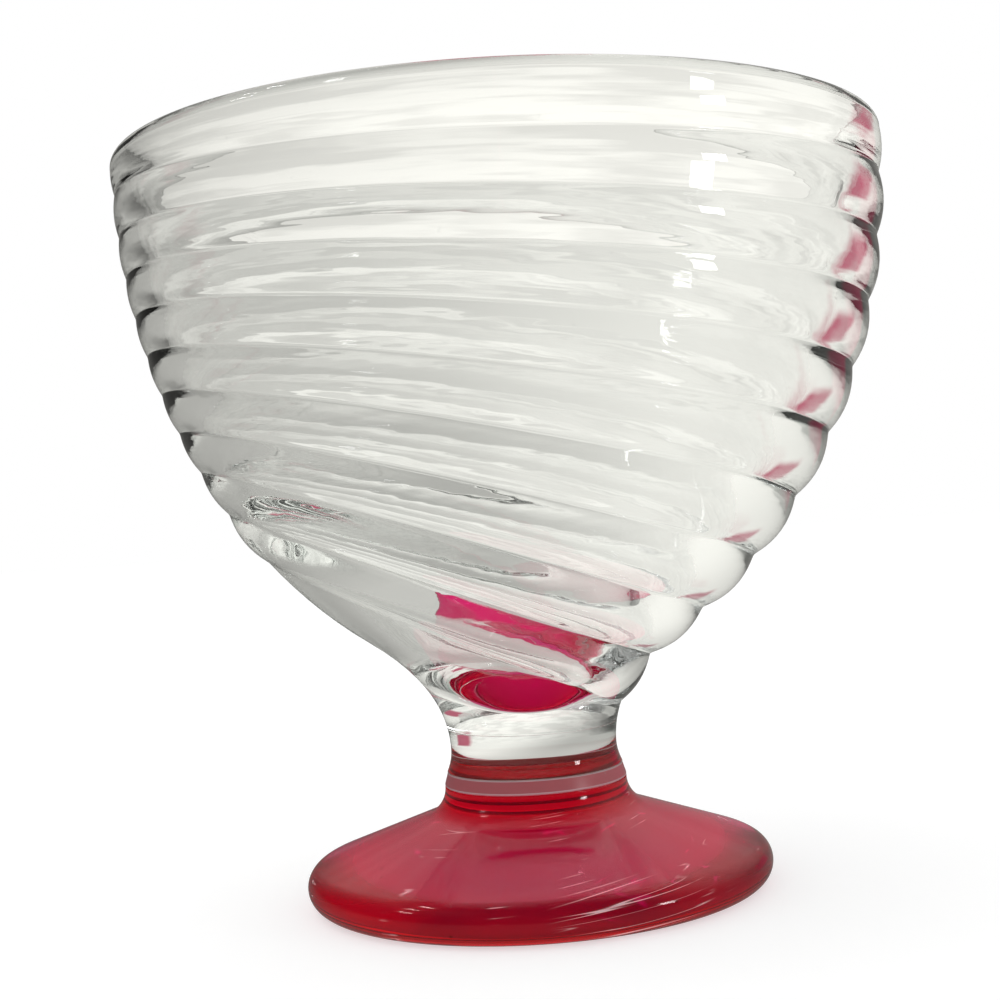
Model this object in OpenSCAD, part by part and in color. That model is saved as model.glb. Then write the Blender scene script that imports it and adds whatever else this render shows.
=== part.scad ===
// Footed glass compote dish: a clear bowl with swirled ribs on a short solid neck,
// a thin wafer of pink glass under the neck, and a ruby foot.
// Millimetres, +Z up, origin at the centre of the face that the foot rests on.
// The ribs drop lower on the +X side than on the -X side.

/* [Overall] */
// Diameter across the rim
rim_d = 108; // [90:1:130]
// Height from the resting face to the top of the rim
total_h = 105.5; // [92:0.5:125]

/* [Bowl] */
// Thickness of the rounded lip
lip_t = 3.2; // [2:0.1:4.5]
// How far the rib valleys sit inside the rim
valley_inset = 0.4; // [0.1:0.1:2]
// Height of the straight mouth below the rim, where the belly starts to curve in
mouth_h = 4; // [3:0.5:8]
// Height of the point above the waist that the belly curve aims at
belly_tip_rise = 8.5; // [4:0.5:10]
// Fullness of the belly curve, where 0.5 is an ellipse
belly_power = 0.545; // [0.5:0.005:0.7]
// Height of the flare that leads from the waist into the belly
flare_h = 16.5; // [14:0.5:20]
// Thickness of the glass between the neck and the floor of the cavity
floor_t = 3; // [2:0.5:6]
// Height over which the cavity floor is rounded
floor_round_h = 2.2; // [1:0.1:3]
// Fullness of the cavity curve, where 0.5 is an ellipse
cavity_power = 0.85; // [0.8:0.01:0.9]

/* [Swirled ribs] */
// Drop of the first valley below the rim, at the axis
first_valley_drop = 5.8; // [5:0.1:8]
// Drop from one valley to the next, at the axis
rib_pitch = 7.5; // [6:0.1:9]
// Slope that each valley adds to the one above it, falling towards +X
tilt_step = 0.0195; // [0:0.0005:0.025]
// Growth of that slope from the rim to the neck
tilt_growth = 0.0028; // [0:0.0001:0.0035]
// Slope towards -Y that the valleys start from at the rim
sway_start = 0.068; // [0.04:0.001:0.09]
// How much of that slope each valley loses
sway_fall = 0.031; // [0.02:0.001:0.04]
// How that loss slackens from the rim to the neck
sway_slack = 0.002; // [0.001:0.0001:0.003]
// Radius of the rounded rib crests
crest_r = 11.5; // [8:0.5:30]
// Height above the neck at which the ribs end
rib_stop_rise = 2; // [1:0.5:12]

/* [Neck] */
// Diameter of the neck at its waist
waist_d = 23.8; // [20:0.2:26]
// Height of the waist above the bottom of the neck
waist_rise = 3; // [2:0.5:6]
// Height of the neck
neck_h = 6; // [4:0.5:9]

/* [Wafer] */
// Height of the wafer of glass between the neck and the foot
wafer_h = 2.1; // [1.5:0.1:4]
// Diameter of the wafer where the neck sits on it
wafer_top_d = 25.2; // [24:0.1:27]
// How much wider the wafer is where it sits on the foot
wafer_flare = 0.9; // [0.2:0.1:2]
// Radius of the rounded edges of the wafer, which leave a fine groove above and below it
wafer_edge_r = 0.3; // [0.1:0.1:0.6]

/* [Foot] */
// Diameter of the foot
foot_d = 66.5; // [54:0.5:80]
// Height of the foot
foot_h = 15.5; // [14:0.1:20]
// Radius of the rounded outer edge of the foot
foot_edge_r = 3; // [2:0.1:4]
// Slope of the top of the foot, in degrees
foot_slope = 20; // [14:1:21]
// Width of the flat ring that the foot rests on
rest_ring_w = 5; // [3:0.5:8]
// Depth of the shallow hollow under the foot
hollow_h = 2.6; // [1:0.1:4]

/* [Hidden] */
$fn = 96;

// Columns round the bowl, and rows over a rib, the flare and the lip
columns = 64;
rib_rows = 5;
flare_rows = 9;
lip_rows = 4;
// Points along a turned curve, and along a turned arc
curve_steps = 24;
arc_steps = 10;
// Steps that settle the height of a valley, and the most valleys that are looked for
settle_steps = 18;
most_valleys = 24;

rim_r = rim_d / 2;
lip_r = lip_t / 2;
lip_z = total_h - lip_r;
mouth_z = total_h - mouth_h;
waist_r = waist_d / 2;
neck_z = foot_h + wafer_h;
neck_top_z = neck_z + neck_h;
waist_z = neck_z + waist_rise;
wafer_top_r = wafer_top_d / 2;
wafer_base_r = wafer_top_r + wafer_flare / 2;
foot_r = foot_d / 2;

// A cubic curve from [z0, r0] at slope s0 to [z1, r1] at slope s1, read at height z
function eased(z, z0, r0, s0, z1, r1, s1) =
    let (h = z1 - z0)
    let (u = (z - z0) / h)
    r0 * (1 + 2 * u) * pow(1 - u, 2) + r1 * u * u * (3 - 2 * u)
    + h * (s0 * u * pow(1 - u, 2) - s1 * u * u * (1 - u));

// The belly is a power curve that is upright at the mouth and closes at its tip
valley_r = rim_r - valley_inset;
belly_depth = mouth_z - waist_z - belly_tip_rise;
flare_z = waist_z + flare_h;
function belly_fall(z) = (mouth_z - z) / belly_depth;
function belly_r(z) = valley_r * pow(1 - pow(belly_fall(z), 2), belly_power);
function belly_slope(z) =
    2 * belly_power * valley_r * pow(1 - pow(belly_fall(z), 2), belly_power - 1)
    * belly_fall(z) / belly_depth;

// Outer radius of the glass along the valleys, from the wafer to the rim
function glass_r(z) =
    z >= flare_z ? belly_r(z)
    : z >= waist_z ? eased(z, waist_z, waist_r, 0, flare_z, belly_r(flare_z), belly_slope(flare_z))
    : eased(max(z, neck_z), neck_z, wafer_top_r, -2 * (wafer_top_r - waist_r) / waist_rise,
            waist_z, waist_r, 0);

// Each valley is a plane cut: it crosses the axis at axis_z, falls towards +X at tilt and
// towards -Y at sway, so the fall turns round the bowl from one rib to the next
function axis_z(k) = total_h - first_valley_drop - rib_pitch * (k - 1);
function tilt(k) = tilt_step * k + tilt_growth * k * k;
function sway(k) = sway_start - sway_fall * k + sway_slack * k * k;
function settle(k, a, z, n) =
    n == 0 ? z
    : settle(k, a, axis_z(k) - glass_r(z) * (tilt(k) * cos(a) - sway(k) * sin(a)), n - 1);
function valley_z(k, a) = settle(k, a, axis_z(k), settle_steps);
// Radius and height of edge k of the ribs at angle a, where edge 0 is the rim
function rib_edge(k, a) =
    k == 0 ? [rim_r, lip_z]
    : let (z = valley_z(k, a)) [glass_r(z), z];
rib_stop_z = neck_top_z + rib_stop_rise;
valleys = len([for (k = [1:most_valleys]) if (valley_z(k, 0) > rib_stop_z) k]);

// A point on the rounded rib below edge k, at share f of the way down to the next edge
function rib_point(k, a, f) =
    let (upper = rib_edge(k, a))
    let (run = rib_edge(k + 1, a) - upper)
    let (bulge = 4 * f * (1 - f) * norm(run) / (8 * crest_r))
    upper + run * f + [-run[1], run[0]] * bulge;

// A point on the smooth flare, at share f of the way from the neck to the last valley
function flare_point(a, f) =
    let (z = neck_top_z + (valley_z(valleys, a) - neck_top_z) * f)
    [glass_r(z), z];

function lip_point(f) = [rim_r - lip_r + lip_r * cos(90 * f), lip_z + lip_r * sin(90 * f)];

function turned(p, a) = [p[0] * cos(a), p[0] * sin(a), p[1]];

module ribbed_body() {
    angles = [for (j = [0:columns - 1]) 360 * j / columns];
    rows = [
        for (i = [0:flare_rows - 1]) [for (a = angles) turned(flare_point(a, i / flare_rows), a)],
        for (k = [valleys - 1:-1:0])
            for (i = [0:rib_rows - 1]) [for (a = angles) turned(rib_point(k, a, 1 - i / rib_rows), a)],
        for (i = [0:lip_rows]) [for (a = angles) turned(lip_point(i / lip_rows), a)]
    ];
    last = len(rows) - 1;
    walls = [
        for (i = [0:last - 1])
            for (j = [0:columns - 1])
                let (low = i * columns, high = low + columns, next = (j + 1) % columns)
                each [[low + j, high + j, high + next], [low + j, high + next, low + next]]
    ];
    base = [for (j = [0:columns - 1]) j];
    top = [for (j = [columns - 1:-1:0]) last * columns + j];
    polyhedron([for (row = rows) each row], concat([base, top], walls), convexity = 6);
}

// The cavity is a power curve closed by a ball that touches it at the height ball_z
cavity_r0 = rim_r - lip_t;
cavity_depth = mouth_z - neck_top_z - floor_t;
ball_z = mouth_z - cavity_depth + floor_round_h;
function cavity_fall(z) = (mouth_z - z) / cavity_depth;
function cavity_r(z) = cavity_r0 * pow(1 - pow(cavity_fall(z), 2), cavity_power);
cavity_slope = 2 * cavity_power * cavity_r0 * pow(1 - pow(cavity_fall(ball_z), 2), cavity_power - 1)
    * cavity_fall(ball_z) / cavity_depth;
ball_centre_z = ball_z + cavity_r(ball_z) * cavity_slope;
ball_r = norm([cavity_r(ball_z), ball_centre_z - ball_z]);
ball_angle = atan2(cavity_r(ball_z), ball_centre_z - ball_z);

module cavity() {
    floor_arc = [
        for (i = [0:arc_steps - 1])
            let (a = ball_angle * i / arc_steps)
            [ball_r * sin(a), ball_centre_z - ball_r * cos(a)]
    ];
    wall_curve = [
        for (i = [0:curve_steps])
            let (z = ball_z + (mouth_z - ball_z) * i / curve_steps)
            [cavity_r(z), z]
    ];
    // The inner side of the lip is rounded up to a land that is left flat
    lip_land = lip_r / 4;
    lip_arc = [
        for (i = [0:arc_steps])
            let (a = 90 * i / arc_steps)
            [cavity_r0 + (lip_r - lip_land) * (1 - cos(a)), lip_z + lip_r * sin(a)]
    ];
    mouth = [[cavity_r0 + lip_r - lip_land, total_h + lip_t], [0, total_h + lip_t]];
    rotate_extrude() polygon(concat(floor_arc, wall_curve, lip_arc, mouth));
}

module bowl() {
    color([0.88, 0.92, 0.92, 0.6])
    difference() {
        ribbed_body();
        cavity();
    }
}

module neck() {
    side = [
        for (i = [0:arc_steps])
            let (z = neck_z + neck_h * i / arc_steps)
            [glass_r(z), z]
    ];
    color([0.85, 0.9, 0.9, 0.7])
    rotate_extrude() polygon(concat([[0, neck_z]], side, [[0, neck_top_z]]));
}

module wafer() {
    lower = [wafer_base_r - wafer_edge_r, foot_h + wafer_edge_r];
    upper = [wafer_top_r - wafer_edge_r, neck_z - wafer_edge_r];
    lean = atan2(lower[0] - upper[0], upper[1] - lower[1]);
    lower_arc = [
        for (i = [0:arc_steps])
            let (a = -90 + (90 + lean) * i / arc_steps)
            lower + wafer_edge_r * [cos(a), sin(a)]
    ];
    upper_arc = [
        for (i = [0:arc_steps])
            let (a = lean + (90 - lean) * i / arc_steps)
            upper + wafer_edge_r * [cos(a), sin(a)]
    ];
    color([0.85, 0.62, 0.64, 0.8])
    rotate_extrude() polygon(concat([[0, foot_h]], lower_arc, upper_arc, [[0, neck_z]]));
}

// The foot's top is a cone between a rounded edge and a fillet that turns up to the wafer
edge_centre = [foot_r - foot_edge_r, foot_edge_r];
cone_start = edge_centre + foot_edge_r * [sin(foot_slope), cos(foot_slope)];
cone_z_at_wafer = cone_start[1] + (cone_start[0] - wafer_base_r) * tan(foot_slope);
fillet_r = (foot_h - cone_z_at_wafer) / (1 / cos(foot_slope) - tan(foot_slope));
fillet_centre = [wafer_base_r + fillet_r, foot_h];

module foot() {
    edge_arc = [
        for (i = [0:arc_steps])
            let (a = -90 + (180 - foot_slope) * i / arc_steps)
            edge_centre + foot_edge_r * [cos(a), sin(a)]
    ];
    fillet_arc = [
        for (i = [0:arc_steps])
            let (a = 270 - foot_slope - (90 - foot_slope) * i / arc_steps)
            fillet_centre + fillet_r * [cos(a), sin(a)]
    ];
    // The hollow is a shallow dome inside the resting ring
    hollow_r = edge_centre[0] - rest_ring_w;
    hollow = [
        for (i = [0:arc_steps])
            let (r = hollow_r * i / arc_steps)
            [r, hollow_h * (1 - pow(r / hollow_r, 2))]
    ];
    color([0.65, 0.02, 0.12, 0.85])
    rotate_extrude() polygon(concat(hollow, edge_arc, fillet_arc, [[0, foot_h]]));
}

bowl();
neck();
wafer();
foot();
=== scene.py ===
"""Footed compote dish: a clear bowl with swirled ribs, a solid neck, a pale wafer and a ruby foot.

Metres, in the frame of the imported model: +Z is up, the foot rests on z = 0, the ribs run lowest on the
+X side and the photograph looks along +Y.
"""
import math

import bpy
import numpy as np
from bpy.props import FloatProperty, FloatVectorProperty, PointerProperty
from mathutils import Matrix, Vector


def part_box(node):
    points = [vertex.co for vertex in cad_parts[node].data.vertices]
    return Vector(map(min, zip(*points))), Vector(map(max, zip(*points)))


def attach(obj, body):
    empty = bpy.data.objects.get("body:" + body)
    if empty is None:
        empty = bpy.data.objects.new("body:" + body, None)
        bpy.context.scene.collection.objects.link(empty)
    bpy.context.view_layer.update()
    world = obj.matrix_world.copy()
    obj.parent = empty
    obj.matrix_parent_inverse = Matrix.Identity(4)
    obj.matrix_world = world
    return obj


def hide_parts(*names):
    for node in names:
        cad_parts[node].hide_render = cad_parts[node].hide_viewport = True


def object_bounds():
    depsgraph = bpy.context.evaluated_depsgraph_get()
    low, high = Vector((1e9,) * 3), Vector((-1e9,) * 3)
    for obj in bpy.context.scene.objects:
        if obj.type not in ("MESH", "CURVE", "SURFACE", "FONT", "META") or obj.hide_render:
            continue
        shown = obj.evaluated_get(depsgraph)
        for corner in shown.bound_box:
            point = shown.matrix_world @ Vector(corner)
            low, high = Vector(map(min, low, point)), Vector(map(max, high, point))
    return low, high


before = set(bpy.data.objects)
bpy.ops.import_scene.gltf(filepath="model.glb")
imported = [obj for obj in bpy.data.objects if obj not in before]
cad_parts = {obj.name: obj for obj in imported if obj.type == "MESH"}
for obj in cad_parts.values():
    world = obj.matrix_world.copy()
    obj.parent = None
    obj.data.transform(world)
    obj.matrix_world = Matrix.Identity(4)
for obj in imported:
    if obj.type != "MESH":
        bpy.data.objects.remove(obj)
CAD_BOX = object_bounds()
BOWL_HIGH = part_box("bowl")[1]
NECK_LOW, NECK_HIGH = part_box("neck")
WAFER_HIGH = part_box("wafer")[1]
FOOT_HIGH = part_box("foot")[1]

bl_info = {
    "name": "Footed compote dish",
    "version": (1, 0, 0),
    "blender": (4, 5, 0),
    "location": "View3D > Sidebar > Compote",
    "description": "Builds a glass compote dish with swirled ribs, and the stage it is shown on",
    "category": "Add Mesh",
}

BODY = "root"

# How finely the surfaces are divided
BOWL_COLUMNS = 320
TURNED_COLUMNS = 224
FLARE_ROWS = 20
RIB_ROWS = 14
LIP_ROWS = 19
WALL_ROWS = 56
FLOOR_ROWS = 12
NECK_ROWS = 24
ARC_ROWS = 20
CONE_ROWS = 12
# How much the rows of the flare crowd towards the neck
FLARE_CROWDING = 1.5
# Steps in which a valley settles on its plane, and more valleys than a dish can have
SETTLE_STEPS = 24
MOST_VALLEYS = 24
# The joints of the fused glass are clear: each cap stands back by half of this gap
JOINT_GAP = 0.000005
# The ground underside of the foot turns smooth between these shares of its radius
GROUND_FADE = (0.5, 0.9)


def length(name, description, default):
    """A size in metres for the panel."""
    return FloatProperty(name=name, description=description, default=default, precision=5, unit="LENGTH")


def number(name, description, default):
    """A plain number for the panel."""
    return FloatProperty(name=name, description=description, default=default, precision=4)


def tint(name, description, default):
    """A colour for the panel."""
    return FloatVectorProperty(
        name=name, description=description, default=default, size=3, min=0.0, max=1.0, subtype="COLOR"
    )


class BowlSizes(bpy.types.PropertyGroup):
    """Sizes of the bowl's outside and cavity"""

    rim_radius: length("Rim radius", "Outer radius of the rim", 0.054)
    rim_z: length("Rim height", "Height of the rim above the table", BOWL_HIGH.z)
    lip_thickness: length("Lip", "Thickness of the rounded lip", 0.0032)
    valley_inset: length("Valley inset", "How far the rib valleys sit inside the rim", 0.0004)
    mouth_height: length("Mouth", "Height of the upright mouth below the rim", 0.004)
    belly_tip_rise: length("Belly tip", "Height above the waist that the belly curve aims at", 0.0085)
    belly_fullness: number("Belly fullness", "Power of the belly curve, where 0.5 is an ellipse", 0.545)
    flare_height: length("Flare", "Height of the flare from the waist into the belly", 0.0165)
    floor_thickness: length("Floor", "Glass between the neck and the cavity", 0.003)
    floor_round: length("Floor rounding", "Height over which the cavity floor is rounded", 0.0022)
    cavity_fullness: number("Cavity fullness", "Power of the cavity curve, where 0.5 is an ellipse", 0.85)


class RibSizes(bpy.types.PropertyGroup):
    """Sizes of the swirled ribs"""

    first_drop: length("First valley", "Drop of the first valley below the rim, at the axis", 0.0058)
    pitch: length("Pitch", "Drop from one valley to the next, at the axis", 0.0075)
    tilt_step: number("Tilt step", "Slope towards +X that each valley adds to the one above it", 0.0195)
    tilt_growth: number("Tilt growth", "Growth of that slope towards the neck", 0.0028)
    sway_start: number("Sway start", "Slope towards -Y that the valleys start from at the rim", 0.068)
    sway_fall: number("Sway fall", "How much of that slope each valley loses", 0.031)
    sway_slack: number("Sway slack", "How that loss slackens towards the neck", 0.002)
    crest_radius: length("Crest radius", "Radius of the rounded crests", 0.0115)
    stop_rise: length("Stop", "Height above the neck at which the ribs end", 0.002)
    valley_softness: number("Valley softness", "Share of the crest height over which a valley rounds", 0.1)


class NeckSizes(bpy.types.PropertyGroup):
    """Sizes of the solid neck"""

    base_z: length("Base", "Height of the bottom of the neck", NECK_LOW.z)
    top_z: length("Top", "Height of the top of the neck", NECK_HIGH.z)
    base_radius: length("Base radius", "Radius of the neck where it sits on the wafer", NECK_HIGH.x)
    waist_radius: length("Waist radius", "Radius of the neck at its waist", 0.0119)
    waist_rise: length("Waist", "Height of the waist above the bottom of the neck", 0.003)


class WaferSizes(bpy.types.PropertyGroup):
    """Sizes of the wafer between the neck and the foot"""

    base_radius: length("Base radius", "Radius of the wafer where it sits on the foot", WAFER_HIGH.x)
    edge_radius: length("Edge radius", "Radius of the rounded edges", 0.0003)


class FootSizes(bpy.types.PropertyGroup):
    """Sizes of the foot"""

    radius: length("Radius", "Outer radius of the foot", FOOT_HIGH.x)
    top_z: length("Height", "Height of the foot", FOOT_HIGH.z)
    edge_radius: length("Edge radius", "Radius of the rounded outer edge", 0.003)
    slope: FloatProperty(
        name="Slope", description="Slope of the top of the foot", default=math.radians(20), unit="ROTATION"
    )
    rest_width: length("Resting ring", "Width of the flat ring that the foot rests on", 0.005)
    hollow_height: length("Hollow", "Depth of the shallow hollow underneath", 0.0026)


class GlassLook(bpy.types.PropertyGroup):
    """Colours of the glass"""

    clear_tint: tint("Clear glass", "Surface tint of the clear glass", (0.985, 0.99, 0.988))
    clear_depth: tint("Clear depth", "Tint that builds up inside the clear glass", (0.84, 0.92, 0.89))
    ruby_tint: tint("Ruby glass", "Surface tint of the ruby glass", (0.97, 0.07, 0.32))
    ruby_depth: tint("Ruby depth", "Tint that builds up inside the ruby glass", (0.975, 0.0, 0.74))
    wafer_tint: tint("Wafer", "Surface tint of the wafer", (0.74, 0.2, 0.23))
    wafer_depth: tint("Wafer depth", "Tint that builds up inside the wafer", (0.93, 0.1, 0.5))


class StageLook(bpy.types.PropertyGroup):
    """Floor, lamps and camera"""

    floor_tint: tint("Floor", "Colour of the floor", (0.55, 0.55, 0.55))
    ambient: number("Ambient", "Strength of the light from all round", 0.85)
    camera_distance: length("Camera distance", "Distance of the camera in front of the axis", 0.23508)
    camera_z: length("Camera height", "Height of the camera above the table", 0.05566)
    lens: number("Lens", "Focal length on a 36 mm frame, in millimetres", 58.73)
    pitch: FloatProperty(name="Pitch", description="Upward turn", default=-0.0011, unit="ROTATION")
    yaw: FloatProperty(name="Yaw", description="Turn to the right", default=0.0297, unit="ROTATION")
    roll: FloatProperty(name="Roll", description="Lean of the frame", default=-0.0614, unit="ROTATION")
    shift: number("Shift", "Sideways shift of the lens, as a share of the frame", -0.0674)


class CompoteSettings(bpy.types.PropertyGroup):
    """Everything that shapes the dish and its stage"""

    bowl: PointerProperty(type=BowlSizes)
    ribs: PointerProperty(type=RibSizes)
    neck: PointerProperty(type=NeckSizes)
    wafer: PointerProperty(type=WaferSizes)
    foot: PointerProperty(type=FootSizes)
    glass: PointerProperty(type=GlassLook)
    stage: PointerProperty(type=StageLook)


# Curves of the dish

def eased(z, z0, r0, s0, z1, r1, s1):
    """Cubic curve in z that leaves radius r0 at slope s0 and reaches radius r1 at slope s1."""
    h = z1 - z0
    u = (z - z0) / h
    ends = r0 * (1 + 2 * u) * (1 - u) ** 2 + r1 * u * u * (3 - 2 * u)
    return ends + h * (s0 * u * (1 - u) ** 2 - s1 * u * u * (1 - u))


class GlassForm:
    """Radius of the clear glass at each height, and the planes that cut its rib valleys."""

    def __init__(self, settings):
        bowl, ribs, neck = settings.bowl, settings.ribs, settings.neck
        self.bowl, self.ribs, self.neck = bowl, ribs, neck
        self.lip_r = bowl.lip_thickness / 2
        self.lip_z = bowl.rim_z - self.lip_r
        self.mouth_z = bowl.rim_z - bowl.mouth_height
        self.waist_z = neck.base_z + neck.waist_rise
        self.flare_z = self.waist_z + bowl.flare_height
        self.valley_r = bowl.rim_radius - bowl.valley_inset
        self.belly_depth = self.mouth_z - self.waist_z - bowl.belly_tip_rise

    def belly_radius(self, z):
        """Power curve that is upright at the mouth: (1 - fall squared) to the power of the fullness."""
        fall = (self.mouth_z - z) / self.belly_depth
        return self.valley_r * np.maximum(1 - fall**2, 1e-9) ** self.bowl.belly_fullness

    def belly_slope(self, z):
        """Derivative of the belly curve."""
        fall = (self.mouth_z - z) / self.belly_depth
        power = self.bowl.belly_fullness
        return 2 * power * self.valley_r * (1 - fall**2) ** (power - 1) * fall / self.belly_depth

    def radius(self, z):
        """Belly above the flare, a cubic from the belly to the waist, and one from there to the wafer."""
        neck = self.neck
        top_r = self.belly_radius(self.flare_z)
        top_slope = self.belly_slope(self.flare_z)
        base_slope = -2 * (neck.base_radius - neck.waist_radius) / neck.waist_rise
        flare = eased(z, self.waist_z, neck.waist_radius, 0, self.flare_z, top_r, top_slope)
        low_z = np.maximum(z, neck.base_z)
        low = eased(low_z, neck.base_z, neck.base_radius, base_slope, self.waist_z, neck.waist_radius, 0)
        return np.where(z >= self.flare_z, self.belly_radius(z), np.where(z >= self.waist_z, flare, low))

    def valley_z(self, k, angles):
        """Height where the glass meets plane k: z = axis height - tilt * x + sway * y."""
        ribs = self.ribs
        axis_z = self.bowl.rim_z - ribs.first_drop - ribs.pitch * (k - 1)
        tilt = ribs.tilt_step * k + ribs.tilt_growth * k * k
        sway = ribs.sway_start - ribs.sway_fall * k + ribs.sway_slack * k * k
        fall = tilt * np.cos(angles) - sway * np.sin(angles)
        z = np.full_like(angles, axis_z)
        for _ in range(SETTLE_STEPS):
            z = axis_z - fall * self.radius(z)
        return z

    def valleys(self, angles):
        """Heights of the valleys that stay above the end of the ribs, one row each from the rim down."""
        stop_z = self.neck.top_z + self.ribs.stop_rise
        lowest = np.zeros(1)
        count = sum(1 for k in range(1, MOST_VALLEYS) if self.valley_z(k, lowest)[0] > stop_z)
        return np.array([self.valley_z(k, angles) for k in range(1, count + 1)])


def ring_angles(columns):
    """Evenly spaced angles round the axis."""
    return np.arange(columns) * 2 * np.pi / columns


def arc(centre, radius, start, end, rows):
    """Points of a circle in the (radius, height) plane, from angle start to angle end."""
    a = np.linspace(start, end, rows)
    return np.stack([centre[0] + radius * np.cos(a), centre[1] + radius * np.sin(a)], axis=-1)


def outer_rows(form, angles):
    """Outside of the bowl as (radius, height) rings from the neck up, with each ring's place in the ribs.

    Each rib spans two valleys: the chord between them plus an arch across it, 4 f (1 - f) of the crest's
    rise, where the rise is the chord squared over eight crest radii and the arch's feet are rounded.
    """
    start_z = form.neck.top_z + JOINT_GAP / 2
    valleys = form.valleys(angles)
    share = np.linspace(0, 1, FLARE_ROWS, endpoint=False)[:, None] ** FLARE_CROWDING
    flare_z = start_z + (valleys[-1] - start_z) * share
    flare = np.stack([form.radius(flare_z), flare_z], axis=-1)
    flare_place = np.broadcast_to(len(valleys) + 1 - share, flare_z.shape)

    edge_z = np.vstack([np.full_like(angles, form.lip_z), valleys])
    edge_r = form.radius(edge_z)
    edge_r[0] = form.bowl.rim_radius
    edges = np.stack([edge_r, edge_z], axis=-1)
    upper = edges[:-1, None]
    run = edges[1:, None] - upper
    f = (0.5 + 0.5 * np.cos(np.linspace(0, np.pi, RIB_ROWS, endpoint=False)))[None, :, None, None]
    soft = form.ribs.valley_softness
    arch = (np.sqrt((4 * f * (1 - f)) ** 2 + soft**2) - soft) / (np.sqrt(1 + soft**2) - soft)
    chord = np.linalg.norm(run, axis=-1, keepdims=True)
    outward = np.stack([-run[..., 1], run[..., 0]], axis=-1)
    ribs = upper + run * f + outward * arch * chord / (8 * form.ribs.crest_radius)
    rib_place = np.arange(len(valleys))[:, None, None] + f[..., 0]
    rib_place = np.broadcast_to(rib_place, ribs.shape[:3])

    columns = len(angles)
    rings = np.concatenate([flare, ribs[::-1].reshape(-1, columns, 2)])
    place = np.concatenate([flare_place, rib_place[::-1].reshape(-1, columns)])
    return rings, place


def cavity_rows(form):
    """Lip and cavity as one (radius, height) profile, and the height of the cavity's lowest point.

    The lip is half a circle, the wall a power curve like the belly's, and the floor a ball that touches it.
    """
    bowl = form.bowl
    lip = arc((bowl.rim_radius - form.lip_r, form.lip_z), form.lip_r, 0, np.pi, LIP_ROWS)
    mouth_r = bowl.rim_radius - bowl.lip_thickness
    depth = form.mouth_z - form.neck.top_z - bowl.floor_thickness
    power = bowl.cavity_fullness
    last_fall = 1 - bowl.floor_round / depth
    turn = np.linspace(0, math.asin(last_fall), WALL_ROWS)
    wall = np.stack([mouth_r * np.cos(turn) ** (2 * power), form.mouth_z - depth * np.sin(turn)], axis=-1)
    last_r, last_z = wall[-1]
    slope = 2 * power * mouth_r * (1 - last_fall**2) ** (power - 1) * last_fall / depth
    ball_z = last_z + last_r * slope
    ball_r = math.hypot(last_r, ball_z - last_z)
    half_angle = math.atan2(last_r, ball_z - last_z)
    down = -np.pi / 2
    floor = arc((0, ball_z), ball_r, down + half_angle, down, FLOOR_ROWS)
    return np.concatenate([lip, wall, floor[1:-1]]), ball_z - ball_r


def neck_profile(form):
    """Side of the neck as (radius, height) points, from the wafer to the bowl."""
    neck = form.neck
    share = 0.5 - 0.5 * np.cos(np.linspace(0, np.pi, NECK_ROWS))
    z = neck.base_z + JOINT_GAP / 2 + (neck.top_z - neck.base_z - JOINT_GAP) * share
    return np.stack([form.radius(z), z], axis=-1)


def wafer_profile(settings):
    """Side of the wafer: two rounded edges joined by a straight side that touches both."""
    edge = settings.wafer.edge_radius
    lower = (settings.wafer.base_radius - edge, settings.foot.top_z + JOINT_GAP / 2 + edge)
    upper = (settings.neck.base_radius - edge, settings.neck.base_z - JOINT_GAP / 2 - edge)
    lean = math.atan2(lower[0] - upper[0], upper[1] - lower[1])
    lower_arc = arc(lower, edge, -np.pi / 2, lean, ARC_ROWS)
    upper_arc = arc(upper, edge, lean, np.pi / 2, ARC_ROWS)
    return np.concatenate([lower_arc, upper_arc])


def foot_profile(settings):
    """Hollow, resting ring, round edge, cone and fillet of the foot, from the axis underneath to the wafer.

    The hollow is a parabola, the edge an arc that leaves the ring level and meets the cone at its slope,
    and the fillet an arc that touches the cone and turns upright at the wafer.
    """
    foot = settings.foot
    top_z = foot.top_z - JOINT_GAP / 2
    edge_r, slope = foot.edge_radius, foot.slope
    centre = (foot.radius - edge_r, edge_r)
    hollow_r = centre[0] - foot.rest_width
    r = np.linspace(0, hollow_r, ARC_ROWS)[1:]
    hollow = np.stack([r, foot.hollow_height * (1 - (r / hollow_r) ** 2)], axis=-1)
    edge = arc(centre, edge_r, -np.pi / 2, np.pi / 2 - slope, 2 * ARC_ROWS)
    base_r = settings.wafer.base_radius
    cone_z = edge[-1, 1] + (edge[-1, 0] - base_r) * math.tan(slope)
    fillet_r = (top_z - cone_z) / (1 / math.cos(slope) - math.tan(slope))
    fillet = arc((base_r + fillet_r, top_z), fillet_r, 1.5 * np.pi - slope, np.pi, 2 * ARC_ROWS)
    cone = np.linspace(edge[-1], fillet[0], CONE_ROWS)[1:-1]
    return np.concatenate([hollow, edge, cone, fillet])


def turned(profile, angles):
    """A (radius, height) profile carried round the axis as rings of points."""
    return np.repeat(profile[:, None], len(angles), axis=1)


# Meshes

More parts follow.
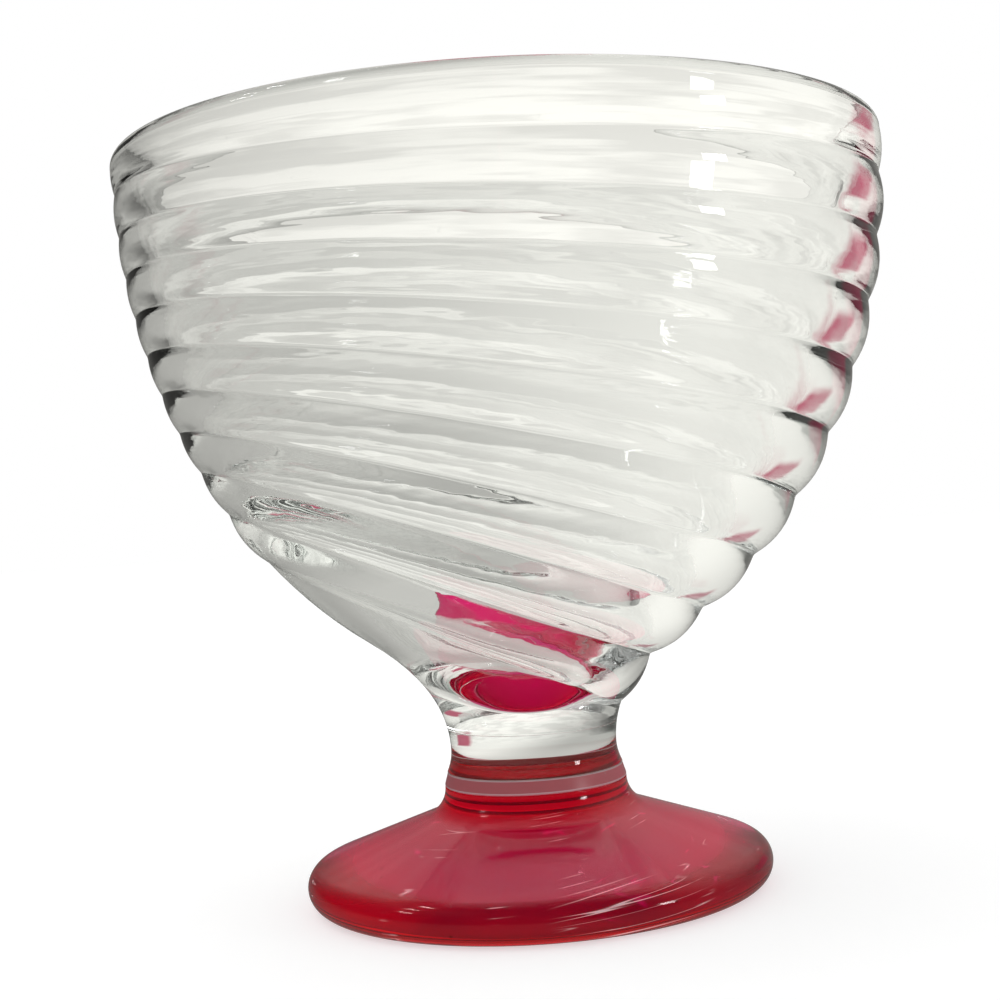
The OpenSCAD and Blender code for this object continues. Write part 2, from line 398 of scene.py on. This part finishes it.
def closed_mesh(name, rings, angles, first_z, last_z, place, caps, accent=None):
    """Mesh of rings round the axis, closed on the axis at first_z and last_z.

    rings[i, j] is the (radius, height) of ring i at angle j. place[i, j] is how far along the ribs that
    point lies; it is kept with x and y in the attribute "flow". Faces of the fans named in caps, "first"
    or "last", are joints with the next piece: they are flat and their attribute "fused" is 1. accent[i]
    is how far ring i takes the second roughness of its glass and its painted highlight tint, if it has one;
    the first tip takes it as the first ring does.
    """
    rows, columns = rings.shape[:2]
    radius, height = rings[..., 0], rings[..., 1]
    x = radius * np.cos(angles)
    y = radius * np.sin(angles)
    points = np.stack([x, y, height], axis=-1).reshape(-1, 3)
    points = np.vstack([points, [[0, 0, first_z], [0, 0, last_z]]])
    flow = np.stack([x, y, place], axis=-1).reshape(-1, 3)
    flow = np.vstack([flow, [[0, 0, place[0, 0]], [0, 0, place[-1, 0]]]])

    here = np.arange(columns)
    after = (here + 1) % columns
    low = (np.arange(rows - 1) * columns)[:, None]
    sides = np.stack([low + here, low + after, low + columns + after, low + columns + here], axis=-1)
    first_tip = np.full(columns, rows * columns)
    last_ring = (rows - 1) * columns
    first_fan = np.stack([first_tip, after, here], axis=-1)
    last_fan = np.stack([last_ring + here, last_ring + after, first_tip + 1], axis=-1)

    mesh = bpy.data.meshes.new(name)
    faces = sides.reshape(-1, 4).tolist() + first_fan.tolist() + last_fan.tolist()
    mesh.from_pydata(points, [], faces)
    fused = np.zeros(len(faces), np.float32)
    fused[-2 * columns:-columns] = "first" in caps
    fused[-columns:] = "last" in caps
    share = np.zeros(rows) if accent is None else accent
    share = np.concatenate([np.repeat(share, columns), [share[0], 0.0]]).astype(np.float32)
    mesh.attributes.new("fused", "FLOAT", "FACE").data.foreach_set("value", fused)
    mesh.attributes.new("accent", "FLOAT", "POINT").data.foreach_set("value", share)
    flow_data = mesh.attributes.new("flow", "FLOAT_VECTOR", "POINT").data
    flow_data.foreach_set("vector", flow.astype(np.float32).ravel())
    mesh.polygons.foreach_set("use_smooth", fused < 0.5)
    mesh.update()
    return mesh


def place_piece(name, mesh, material):
    """Put a finished mesh in the scene in place of the CAD node of the same name."""
    mesh.materials.append(material)
    piece = bpy.data.objects.new(f"{name}_glass", mesh)
    bpy.context.scene.collection.objects.link(piece)
    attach(piece, BODY)
    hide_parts(name)
    return piece


# Shader nodes

def add(tree, kind, inputs=None, **settings):
    """Add a node. Inputs are values or sockets that feed it; settings are its own properties."""
    made = tree.nodes.new(kind)
    for key, value in settings.items():
        setattr(made, key, value)
    for key, value in (inputs or {}).items():
        if isinstance(value, bpy.types.NodeSocket):
            tree.links.new(value, made.inputs[key])
        else:
            made.inputs[key].default_value = value
    return made


def math_node(tree, operation, first, second=0.0):
    """One step of arithmetic."""
    return add(tree, "ShaderNodeMath", {0: first, 1: second}, operation=operation).outputs[0]


def blend(tree, share, first, second):
    """Mix of two colours; a colour mix keeps its factor, colours and result at these places."""
    mix = tree.nodes.new("ShaderNodeMix")
    mix.data_type = "RGBA"
    tree.links.new(share, mix.inputs[0])
    for place, value in ((6, first), (7, second)):
        if isinstance(value, bpy.types.NodeSocket):
            tree.links.new(value, mix.inputs[place])
        else:
            mix.inputs[place].default_value = value
    return mix.outputs[2]


def ramp(tree, value, low, high, to_low=0.0, to_high=1.0):
    """Smooth step of a value from one range to another."""
    inputs = {"Value": value, "From Min": low, "From Max": high, "To Min": to_low, "To Max": to_high}
    return add(tree, "ShaderNodeMapRange", inputs, interpolation_type="SMOOTHSTEP").outputs["Result"]


def band(tree, value, steps):
    """Soft band that starts, is full, thins and ends at the four steps of a value."""
    start, full, thin, end = steps
    rising = ramp(tree, value, start, full)
    return math_node(tree, "MULTIPLY", rising, ramp(tree, value, thin, end, 1.0, 0.0))


def shaded(tree, light, mask, depth):
    """Light with the share depth taken away where the mask is 1."""
    taken = math_node(tree, "MULTIPLY", mask, depth)
    return math_node(tree, "MULTIPLY", light, math_node(tree, "SUBTRACT", 1.0, taken))


def parts(tree, vector):
    """The x, y and z of a vector."""
    split = add(tree, "ShaderNodeSeparateXYZ", {0: vector}).outputs
    return split["X"], split["Y"], split["Z"]


def vector_math(tree, operation, first, second=(0.0, 0.0, 0.0)):
    """One step of arithmetic with vectors."""
    return add(tree, "ShaderNodeVectorMath", {0: first, 1: second}, operation=operation).outputs["Vector"]


def noise(tree, vector, scale, detail):
    """Plain noise at a vector."""
    inputs = {"Vector": vector, "Scale": scale, "Detail": detail}
    return add(tree, "ShaderNodeTexNoise", inputs).outputs["Fac"]


def new_group(name, inputs, outputs):
    """Empty shader node group; inputs and outputs are pairs of a name and a socket type."""
    group = bpy.data.node_groups.new(name, "ShaderNodeTree")
    for label, kind in inputs:
        group.interface.new_socket(label, in_out="INPUT", socket_type=kind)
    for label, kind in outputs:
        group.interface.new_socket(label, in_out="OUTPUT", socket_type=kind)
    return group, group.nodes.new("NodeGroupInput"), group.nodes.new("NodeGroupOutput")


# Glass

# Index of refraction of soda glass
GLASS_IOR = 1.5
# Fineness of the chill ripple's streaks and waves, and how much finer the streaks are across the ribs
STREAK_SCALE = 70.0
STREAK_STRETCH = 12.0
WAVE_SCALE = 110.0
# Hairline scratches: their length, depth and spacing, half their width as a step of the noise that draws
# them, and the noise that chooses where they lie
HAIRLINE_SIZE = (0.08, 0.02, 0.0009)
HAIRLINE_WIDTH = 0.012
PATCH_SCALE = 130.0
PATCH_RANGE = (0.58, 0.72)
# A worn place: half its size, and where its scratches start to thin out
WORN_SIZE = (0.014, 0.009, 0.0045)
WORN_FULL = 0.6
# Specks: how close they lie, how large they are within their cells, and the share of cells that hold one
SPECK_SCALE = 420.0
SPECK_CORE = (0.06, 0.12)
SPECK_SHARE = 0.12


def ripple_group():
    """Chill ripple of pressed glass: fine streaks that follow the ribs, over slow waves."""
    name = "Chill ripple"
    if name in bpy.data.node_groups:
        return bpy.data.node_groups[name]
    sockets = [
        ("Coordinates", "NodeSocketVector"),
        ("Streak", "NodeSocketFloat"),
        ("Wave", "NodeSocketFloat"),
    ]
    group, given, result = new_group(name, sockets, [("Height", "NodeSocketFloat")])
    stretch = {"Vector": given.outputs["Coordinates"], "Scale": (1.0, 1.0, STREAK_STRETCH)}
    along = add(group, "ShaderNodeMapping", stretch).outputs["Vector"]
    streak = noise(group, along, STREAK_SCALE, 1.0)
    wave = noise(group, add(group, "ShaderNodeTexCoord").outputs["Object"], WAVE_SCALE, 1.0)
    streaks = math_node(group, "MULTIPLY", streak, given.outputs["Streak"])
    waves = math_node(group, "MULTIPLY", wave, given.outputs["Wave"])
    group.links.new(math_node(group, "ADD", streaks, waves), result.inputs["Height"])
    return group


def scuff_group():
    """Hairline scratches and specks.

    The scratches are thin level lines of stretched noise, kept in patches and round one worn place. The
    specks are the cores of sparse cells.
    """
    name = "Hairlines and specks"
    if name in bpy.data.node_groups:
        return bpy.data.node_groups[name]
    sockets = [
        ("Turn", "NodeSocketVector"),
        ("Worn place", "NodeSocketVector"),
        ("Worn", "NodeSocketFloat"),
        ("Hairlines", "NodeSocketFloat"),
        ("Specks", "NodeSocketFloat"),
    ]
    outputs = [("Hairlines", "NodeSocketFloat"), ("Specks", "NodeSocketFloat")]
    group, given, result = new_group(name, sockets, outputs)
    point = add(group, "ShaderNodeTexCoord").outputs["Object"]
    lie = {"Vector": point, "Rotation": given.outputs["Turn"], "Scale": HAIRLINE_SIZE}
    along = add(group, "ShaderNodeMapping", lie, vector_type="TEXTURE").outputs["Vector"]
    level = noise(group, along, 1.0, 1.0)
    off_level = math_node(group, "ABSOLUTE", math_node(group, "SUBTRACT", level, 0.5))
    line = ramp(group, off_level, 0.0, HAIRLINE_WIDTH, 1.0, 0.0)
    patch = ramp(group, noise(group, point, PATCH_SCALE, 2.0), *PATCH_RANGE)
    offset = vector_math(group, "SUBTRACT", point, given.outputs["Worn place"])
    reach = {0: vector_math(group, "DIVIDE", offset, WORN_SIZE)}
    away = add(group, "ShaderNodeVectorMath", reach, operation="LENGTH").outputs["Value"]
    near = ramp(group, away, WORN_FULL, 1.0, 1.0, 0.0)
    worn = math_node(group, "MULTIPLY", near, given.outputs["Worn"])
    kept = math_node(group, "MULTIPLY", line, math_node(group, "MAXIMUM", patch, worn))
    hairlines = math_node(group, "MULTIPLY", kept, given.outputs["Hairlines"])
    group.links.new(hairlines, result.inputs["Hairlines"])

    cells = add(group, "ShaderNodeTexVoronoi", {"Vector": point, "Scale": SPECK_SCALE}).outputs
    core = ramp(group, cells["Distance"], *SPECK_CORE, 1.0, 0.0)
    lot = add(group, "ShaderNodeSeparateColor", {"Color": cells["Color"]}).outputs["Red"]
    speck = math_node(group, "MULTIPLY", core, math_node(group, "LESS_THAN", lot, SPECK_SHARE))
    specks = math_node(group, "MULTIPLY", speck, given.outputs["Specks"])
    group.links.new(specks, result.inputs["Specks"])
    return group


def glass_material(name, surface, depth, finish):
    """Glass with a tinted surface, a tint that builds up with depth, chill ripple, hairlines and specks.

    Where the attribute "accent" says so it takes the finish's second roughness and its painted highlight
    tint, if it has one. The hairlines glow by emission as far as the finish says: a painted glint. The faces
    of a fused joint are left clear, so that light passes from one piece into the next.
    """
    material = bpy.data.materials.new(name)
    material.use_nodes = True
    tree = material.node_tree
    tree.nodes.clear()
    flow = add(tree, "ShaderNodeAttribute", attribute_name="flow").outputs["Vector"]
    accent = add(tree, "ShaderNodeAttribute", attribute_name="accent").outputs["Fac"]
    fused = add(tree, "ShaderNodeAttribute", attribute_name="fused").outputs["Fac"]
    waviness = {"Coordinates": flow, "Streak": finish["streak"], "Wave": finish["wave"]}
    ripple = add(tree, "ShaderNodeGroup", waviness, node_tree=ripple_group())
    wear = {
        "Turn": finish["turn"],
        "Worn place": finish["worn_place"],
        "Worn": finish["worn"],
        "Hairlines": finish["hairlines"],
        "Specks": finish["specks"],
    }
    scuff = add(tree, "ShaderNodeGroup", wear, node_tree=scuff_group())

    relief = {"Strength": 1.0, "Distance": finish["relief"], "Height": ripple.outputs["Height"]}
    bump = add(tree, "ShaderNodeBump", relief)
    speckled = blend(tree, scuff.outputs["Specks"], (*surface, 1.0), (*finish["speck_tint"], 1.0))
    # The accent may swap the surface tint for a painted highlight tint
    colour = blend(tree, accent, speckled, (*(finish["painted_highlight_tint"] or surface), 1.0))
    scratched = math_node(tree, "MULTIPLY", scuff.outputs["Hairlines"], finish["hairline_roughness"])
    matt = math_node(tree, "MULTIPLY", accent, finish["accent_roughness"])
    rough = math_node(tree, "ADD", math_node(tree, "ADD", scratched, matt), finish["roughness"])
    open_joint = math_node(tree, "MULTIPLY", fused, finish["joint_clearness"])
    shader = add(
        tree, "ShaderNodeBsdfPrincipled",
        {
            "Base Color": colour,
            "Roughness": rough,
            "IOR": GLASS_IOR,
            "Transmission Weight": finish["transmission"],
            "Alpha": math_node(tree, "SUBTRACT", 1.0, open_joint),
            "Normal": bump.outputs["Normal"],
            # Painted glint: the hairlines glow faintly by emission, as if they caught the light
            "Emission Color": scuff.outputs["Hairlines"],
            "Emission Strength": finish["painted_hairline_glint"],
        },
    )
    inside = add(tree, "ShaderNodeVolumeAbsorption", {"Color": (*depth, 1.0), "Density": finish["density"]})
    output = add(tree, "ShaderNodeOutputMaterial")
    tree.links.new(shader.outputs["BSDF"], output.inputs["Surface"])
    tree.links.new(inside.outputs["Volume"], output.inputs["Volume"])
    return material


# Fire-polished clear glass. Relief is in metres, turn gives the lie of the scratches in radians, and density
# is how fast the depth tint builds up per metre
CLEAR_FINISH = {
    "density": 5.0,
    "roughness": 0.0,
    "streak": 1.0,
    "wave": 0.3,
    "relief": 0.000022,
    "turn": (0.2, 0.4, 0.1),
    "worn_place": (0.0, 0.0, 0.0),
    "worn": 0.0,
    "hairlines": 0.6,
    "hairline_roughness": 0.3,
    # How strongly the hairlines glow by emission, a painted glint; none on clear glass
    "painted_hairline_glint": 0.0,
    "specks": 0.3,
    "speck_tint": (0.75, 0.76, 0.76),
    "transmission": 1.0,
    "accent_roughness": 0.0,
    # Tint of a painted highlight where the accent is; none here
    "painted_highlight_tint": None,
    "joint_clearness": 1.0,
}
# Ruby glass: its accent is the ground underside, its near edge is scratched, and its scratches carry a
# painted glint
RUBY_FINISH = {
    **CLEAR_FINISH,
    "density": 300.0,
    "roughness": 0.08,
    "streak": 0.2,
    "wave": 0.6,
    "relief": 0.000008,
    "turn": (0.0, -0.08, 0.4),
    "worn_place": (0.013, -0.0305, 0.0035),
    "worn": 1.0,
    "hairlines": 1.0,
    # Painted glint on the scratches: they glow faintly though no lamp lights them
    "painted_hairline_glint": 0.35,
    "specks": 1.0,
    "speck_tint": (0.25, 0.02, 0.05),
    "transmission": 0.97,
    "accent_roughness": 0.5,
}
# Slightly frosted pale glass: its accent is a painted highlight, a pale line along each rounded edge
WAFER_FINISH = {
    **CLEAR_FINISH,
    "density": 450.0,
    "roughness": 0.3,
    "wave": 2.0,
    "hairlines": 0.2,
    "transmission": 0.45,
    # Painted highlight: the pale tint of the rounded edges
    "painted_highlight_tint": (0.95, 0.7, 0.73),
    "joint_clearness": 0.88,
}


def clear_material(look, name):
    """Clear glass with a faint green depth."""
    return glass_material(name, look.clear_tint, look.clear_depth, CLEAR_FINISH)


def wafer_material(look):
    """Pale glass that takes up the ruby of the foot."""
    return glass_material("Pale wafer glass", look.wafer_tint, look.wafer_depth, WAFER_FINISH)


def ruby_material(look):
    """Ruby glass that deepens with its thickness."""
    return glass_material("Ruby glass", look.ruby_tint, look.ruby_depth, RUBY_FINISH)


# Pieces

class COMPOTE_OT_bowl(bpy.types.Operator):
    """Build the clear bowl with its swirled ribs"""

    bl_idname = "compote.bowl"
    bl_label = "Bowl"

    def execute(self, context):
        settings = context.scene.compote
        form = GlassForm(settings)
        angles = ring_angles(BOWL_COLUMNS)
        outside, outside_place = outer_rows(form, angles)
        profile, floor_z = cavity_rows(form)
        inside = turned(profile, angles)
        rings = np.concatenate([outside, inside])
        place = np.concatenate([outside_place * settings.ribs.pitch, form.bowl.rim_z - inside[..., 1]])
        first_z = form.neck.top_z + JOINT_GAP / 2
        mesh = closed_mesh("bowl_glass", rings, angles, first_z, floor_z, place, {"first"})
        place_piece("bowl", mesh, clear_material(settings.glass, "Clear bowl glass"))
        return {"FINISHED"}


class COMPOTE_OT_neck(bpy.types.Operator):
    """Build the solid clear neck"""

    bl_idname = "compote.neck"
    bl_label = "Neck"

    def execute(self, context):
        settings = context.scene.compote
        angles = ring_angles(BOWL_COLUMNS)
        profile = neck_profile(GlassForm(settings))
        rings = turned(profile, angles)
        place = settings.bowl.rim_z - rings[..., 1]
        base_z, top_z = profile[[0, -1], 1]
        mesh = closed_mesh("neck_glass", rings, angles, base_z, top_z, place, {"first", "last"})
        place_piece("neck", mesh, clear_material(settings.glass, "Clear neck glass"))
        return {"FINISHED"}


class COMPOTE_OT_wafer(bpy.types.Operator):
    """Build the pale wafer between the neck and the foot"""

    bl_idname = "compote.wafer"
    bl_label = "Wafer"

    def execute(self, context):
        settings = context.scene.compote
        angles = ring_angles(TURNED_COLUMNS)
        profile = wafer_profile(settings)
        rings = turned(profile, angles)
        place = settings.bowl.rim_z - rings[..., 1]
        # The rounded edges take the accent, a painted highlight line along each edge
        edges = np.ones(len(profile))
        edges[ARC_ROWS - 1:ARC_ROWS + 1] = 0
        base_z, top_z = profile[[0, -1], 1]
        mesh = closed_mesh("wafer_glass", rings, angles, base_z, top_z, place, {"first", "last"}, edges)
        place_piece("wafer", mesh, wafer_material(settings.glass))
        return {"FINISHED"}


class COMPOTE_OT_foot(bpy.types.Operator):
    """Build the flared ruby foot"""

    bl_idname = "compote.foot"
    bl_label = "Foot"

    def execute(self, context):
        settings = context.scene.compote
        angles = ring_angles(TURNED_COLUMNS)
        profile = foot_profile(settings)
        rings = turned(profile, angles)
        place = settings.bowl.rim_z - rings[..., 1]
        hollow_z = settings.foot.hollow_height
        outwards = np.interp(profile[:, 0] / settings.foot.radius, GROUND_FADE, (0, 1))
        ground = np.where(profile[:, 1] <= hollow_z, 1 - outwards, 0)
        mesh = closed_mesh("foot_glass", rings, angles, hollow_z, profile[-1, 1], place, {"last"}, ground)
        place_piece("foot", mesh, ruby_material(settings.glass))
        return {"FINISHED"}


# Stage

FLOOR_HALF = 2.0
FLOOR_DROP = 0.0001
# Glow that lifts the floor to the white of the backdrop where the camera sees it
FLOOR_GLOW = 0.56
WHITE = (1.0, 1.0, 1.0, 1.0)
SENSOR = 36.0
NEAR_CLIP = 0.01
GLASS_BOUNCES = 40
GLOSSY_BOUNCES = 16
# Soft lamps aimed at the middle of the dish: name, place, size, power in watts, and whether glass mirrors it
LAMPS = [
    ("overhead_softbox", (-0.25, 0.2, 0.9), (0.9, 0.9), 1.2, False),
    ("window_pane_low", (-0.672, -0.168, 0.453), (0.11, 0.014), 0.1, True),
    ("window_pane_middle", (-0.581, -0.071, 0.6), (0.11, 0.014), 0.1, True),
    ("window_pane_high", (-0.458, 0.024, 0.708), (0.11, 0.014), 0.1, True),
    ("low_window", (0.514, -0.309, 0.137), (0.08, 0.08), 0.3, True),
]
# The surround is the light that the glass shows round the dish, and its ranges are along the x, y or z of a
# direction of length 1. First its tint, and the light of its dim side
SURROUND_TINT = (1.0, 0.99, 0.93)
SURROUND_LOW = 0.43
# What the bright side and height add at the back, where they come in, and how far their edge leans left
SURROUND_SIDE = 0.47
SIDE_RANGE = (-0.44, 0.21)
SURROUND_HEIGHT = 0.3
HEIGHT_RANGE = (-0.55, 0.75)
BACK_RANGE = (-0.3, 0.3)
SURROUND_SLANT = 0.5
# What the table adds all round, and in front
TABLE_GLOW = 0.16
TABLE_RANGE = (-0.7, -0.25)
FRONT_TABLE_GLOW = 0.2
FRONT_TABLE_Y = (-0.3, 0.0)
FRONT_TABLE_Z = (-0.5, -0.2)
# Share that the shade takes at the far left above the table, overhead and in front above the table
SHADE_DEPTH = 0.9
LEFT_X = (-0.9, -0.3)
LEFT_Z = (-0.05, 0.08)
OVERHEAD_RANGE = (0.7, 0.9)
FRONT_Y = (-0.6, -0.25)
FRONT_Z = (-0.1, 0.05)
# Uneven light above the table: how fine its clouds are along x, y and z, and the share that they take
CLOUD_SCALE = (7.0, 7.0, 18.0)
CLOUD_RANGE = (0.4, 0.6)
CLOUD_Z = (-0.15, 0.1)
CLOUD_DEPTH = 0.18
# Share of the surround that a mirror image lacks at the level of the table, and high up
MIRROR_RANGE = (0.1, 0.6)
MIRROR_LOSS = (0.75, 0.4)
# Rose card at the back on the right: its colour, and where it starts, is full, thins and ends, as x over y
# and as a height
CARD_TINT = (0.52, 0.13, 0.19)
CARD_ACROSS = (0.62, 0.78, 1.2, 1.45)
CARD_HEIGHT = (-0.2, -0.1, 0.14, 0.24)
# Least y by which x is divided
LEAST_Y = 0.01


def surround_group():
    """Colour of the surround in a direction.

    At the back it is dim on the left and bright on the right, with a slanted edge between them, and brighter
    with height. The table glows. The far left, the front and the space overhead are shaded, clouds make the
    light above the table uneven, mirror images are dimmer, and a rose card stands at the back on the right.
    """
    name = "Surround light"
    if name in bpy.data.node_groups:
        return bpy.data.node_groups[name]
    sockets = [("Direction", "NodeSocketVector"), ("Mirrored", "NodeSocketFloat")]
    group, given, result = new_group(name, sockets, [("Light", "NodeSocketColor")])
    unit = vector_math(group, "NORMALIZE", given.outputs["Direction"])
    x, y, z = parts(group, unit)

    slanted = math_node(group, "ADD", x, math_node(group, "MULTIPLY", z, SURROUND_SLANT))
    side = ramp(group, slanted, *SIDE_RANGE, 0.0, SURROUND_SIDE)
    height = ramp(group, z, *HEIGHT_RANGE, 0.0, SURROUND_HEIGHT)
    back = math_node(group, "MULTIPLY", math_node(group, "ADD", side, height), ramp(group, y, *BACK_RANGE))
    front_table = math_node(
        group, "MULTIPLY",
        ramp(group, y, *FRONT_TABLE_Y, FRONT_TABLE_GLOW, 0.0), ramp(group, z, *FRONT_TABLE_Z, 1.0, 0.0),
    )
    table = math_node(group, "ADD", front_table, ramp(group, z, *TABLE_RANGE, TABLE_GLOW, 0.0))
    light = math_node(group, "ADD", math_node(group, "ADD", back, table), SURROUND_LOW)

    left = math_node(group, "MULTIPLY", ramp(group, x, *LEFT_X, 1.0, 0.0), ramp(group, z, *LEFT_Z))
    front = math_node(group, "MULTIPLY", ramp(group, y, *FRONT_Y, 1.0, 0.0), ramp(group, z, *FRONT_Z))
    for mask in (left, ramp(group, z, *OVERHEAD_RANGE), front):
        light = shaded(group, light, mask, SHADE_DEPTH)
    flat = add(group, "ShaderNodeMapping", {"Vector": unit, "Scale": CLOUD_SCALE}).outputs["Vector"]
    cloud = ramp(group, noise(group, flat, 1.0, 3.0), *CLOUD_RANGE, 1.0, 0.0)
    light = shaded(group, light, math_node(group, "MULTIPLY", cloud, ramp(group, z, *CLOUD_Z)), CLOUD_DEPTH)
    light = shaded(group, light, given.outputs["Mirrored"], ramp(group, z, *MIRROR_RANGE, *MIRROR_LOSS))
    tinted = {0: SURROUND_TINT, "Scale": light}
    plain = add(group, "ShaderNodeVectorMath", tinted, operation="SCALE").outputs["Vector"]

    across = math_node(group, "DIVIDE", x, math_node(group, "MAXIMUM", y, LEAST_Y))
    card = math_node(group, "MULTIPLY", band(group, across, CARD_ACROSS), band(group, z, CARD_HEIGHT))
    group.links.new(blend(group, card, plain, (*CARD_TINT, 1.0)), result.inputs["Light"])
    return group


def surround_light(tree, direction):
    """Place the surround group in a tree and give the colour and strength of its light."""
    path = add(tree, "ShaderNodeLightPath").outputs
    mirrored = math_node(tree, "SUBTRACT", path["Is Glossy Ray"], path["Is Transmission Ray"])
    inputs = {"Direction": direction, "Mirrored": math_node(tree, "MAXIMUM", mirrored, 0.0)}
    placed = add(tree, "ShaderNodeGroup", inputs, node_tree=surround_group())
    return {"Color": placed.outputs["Light"], "Strength": 1.0}


def seen_in_glass(tree, path):
    """1 for light that reaches the eye by way of glass."""
    return math_node(tree, "MAXIMUM", path["Is Glossy Ray"], path["Is Transmission Ray"])


def floor_material(look):
    """Plain pale floor: it takes the dish's shadow, glows for the camera and shows the surround in glass."""
    material = bpy.data.materials.new("Pale floor")
    material.use_nodes = True
    tree = material.node_tree
    tree.nodes.clear()
    path = add(tree, "ShaderNodeLightPath").outputs
    diffuse = add(tree, "ShaderNodeBsdfDiffuse", {"Color": (*look.floor_tint, 1.0)})
    white = math_node(tree, "MULTIPLY", path["Is Camera Ray"], FLOOR_GLOW)
    glow = add(tree, "ShaderNodeEmission", {"Strength": white})
    lit = add(tree, "ShaderNodeAddShader", {0: diffuse.outputs[0], 1: glow.outputs[0]})
    point = add(tree, "ShaderNodeTexCoord").outputs["Object"]
    from_dish = vector_math(tree, "SUBTRACT", point, dish_middle())
    seen = add(tree, "ShaderNodeEmission", surround_light(tree, from_dish))
    shown = {0: seen_in_glass(tree, path), 1: lit.outputs[0], 2: seen.outputs[0]}
    floor = add(tree, "ShaderNodeMixShader", shown)
    add(tree, "ShaderNodeOutputMaterial", {"Surface": floor.outputs[0]})
    return material


def dish_middle():
    """Middle of the dish's box."""
    return (CAD_BOX[0] + CAD_BOX[1]) / 2


def add_floor(look):
    """Level floor just under the foot."""
    signs = [(-1, -1), (1, -1), (1, 1), (-1, 1)]
    corners = [(x * FLOOR_HALF, y * FLOOR_HALF, -FLOOR_DROP) for x, y in signs]
    mesh = bpy.data.meshes.new("floor")
    mesh.from_pydata(corners, [], [(0, 1, 2, 3)])
    mesh.materials.append(floor_material(look))
    floor = bpy.data.objects.new("floor", mesh)
    bpy.context.scene.collection.objects.link(floor)


def add_lamps():
    """Soft lamps, each turned towards the middle of the dish."""
    for name, place, size, power, mirrored in LAMPS:
        lamp = bpy.data.lights.new(name, "AREA")
        lamp.shape = "RECTANGLE"
        lamp.size, lamp.size_y = size
        lamp.energy = power
        holder = bpy.data.objects.new(name, lamp)
        holder.location = place
        holder.rotation_euler = (dish_middle() - holder.location).to_track_quat("-Z", "Y").to_euler()
        holder.visible_glossy = mirrored
        bpy.context.scene.collection.objects.link(holder)


def set_world(look):
    """White where the camera sees it, the surround where glass shows it, and an even light elsewhere."""
    world = bpy.data.worlds.new("Studio")
    world.use_nodes = True
    tree = world.node_tree
    tree.nodes.clear()
    path = add(tree, "ShaderNodeLightPath").outputs
    even = add(tree, "ShaderNodeBackground", {"Color": WHITE, "Strength": look.ambient})
    direction = add(tree, "ShaderNodeTexCoord").outputs["Generated"]
    surround = add(tree, "ShaderNodeBackground", surround_light(tree, direction))
    white = add(tree, "ShaderNodeBackground", {"Color": WHITE, "Strength": 1.0})
    in_glass = {0: seen_in_glass(tree, path), 1: even.outputs[0], 2: surround.outputs[0]}
    glass = add(tree, "ShaderNodeMixShader", in_glass)
    by_camera = {0: path["Is Camera Ray"], 1: glass.outputs[0], 2: white.outputs[0]}
    seen = add(tree, "ShaderNodeMixShader", by_camera)
    add(tree, "ShaderNodeOutputWorld", {"Surface": seen.outputs[0]})
    bpy.context.scene.world = world


def add_camera(look):
    """Camera of the photograph: in front of the axis, turned by yaw, pitch and roll."""
    level = Vector((math.sin(look.yaw), math.cos(look.yaw), 0))
    right = Vector((math.cos(look.yaw), -math.sin(look.yaw), 0))
    ahead = level * math.cos(look.pitch) + Vector((0, 0, math.sin(look.pitch)))
    above = right.cross(ahead)
    frame_right = right * math.cos(look.roll) + above * math.sin(look.roll)
    frame_up = above * math.cos(look.roll) - right * math.sin(look.roll)
    camera = bpy.data.cameras.new("photo_camera")
    camera.sensor_width = SENSOR
    camera.lens = look.lens
    camera.shift_x = look.shift
    camera.clip_start = NEAR_CLIP
    holder = bpy.data.objects.new("photo_camera", camera)
    turn = Matrix((frame_right, frame_up, -ahead)).transposed()
    place = Matrix.Translation((0, -look.camera_distance, look.camera_z))
    holder.matrix_world = place @ turn.to_4x4()
    bpy.context.scene.collection.objects.link(holder)
    bpy.context.scene.camera = holder


class COMPOTE_OT_stage(bpy.types.Operator):
    """Set up the floor, the lamps, the surround and the camera"""

    bl_idname = "compote.stage"
    bl_label = "Stage"

    def execute(self, context):
        scene = context.scene
        look = scene.compote.stage
        add_floor(look)
        add_lamps()
        set_world(look)
        add_camera(look)
        scene.view_settings.view_transform = "Standard"
        scene.cycles.max_bounces = GLASS_BOUNCES
        scene.cycles.transmission_bounces = GLASS_BOUNCES
        scene.cycles.transparent_max_bounces = GLASS_BOUNCES
        scene.cycles.glossy_bounces = GLOSSY_BOUNCES
        return {"FINISHED"}


class COMPOTE_PT_dish(bpy.types.Panel):
    """Sizes, colours and build buttons of the dish"""

    bl_idname = "COMPOTE_PT_dish"
    bl_label = "Compote dish"
    bl_space_type = "VIEW_3D"
    bl_region_type = "UI"
    bl_category = "Compote"

    def draw(self, context):
        settings = context.scene.compote
        for group_name in settings.__annotations__:
            box = self.layout.box()
            box.label(text=group_name.capitalize())
            group = getattr(settings, group_name)
            for size_name in group.__annotations__:
                box.prop(group, size_name)
        for operator in PIECES:
            self.layout.operator(operator.bl_idname)


GROUPS = [BowlSizes, RibSizes, NeckSizes, WaferSizes, FootSizes, GlassLook, StageLook, CompoteSettings]
PIECES = [COMPOTE_OT_bowl, COMPOTE_OT_neck, COMPOTE_OT_wafer, COMPOTE_OT_foot, COMPOTE_OT_stage]
CLASSES = [*GROUPS, *PIECES, COMPOTE_PT_dish]


def register():
    for cls in CLASSES:
        bpy.utils.register_class(cls)
    bpy.types.Scene.compote = PointerProperty(type=CompoteSettings)


def unregister():
    del bpy.types.Scene.compote
    for cls in reversed(CLASSES):
        bpy.utils.unregister_class(cls)


def main():
    """Build the dish and its stage."""
    register()
    bpy.ops.compote.bowl()
    bpy.ops.compote.neck()
    bpy.ops.compote.wafer()
    bpy.ops.compote.foot()
    bpy.ops.compote.stage()


if __name__ == "__main__":
    main()
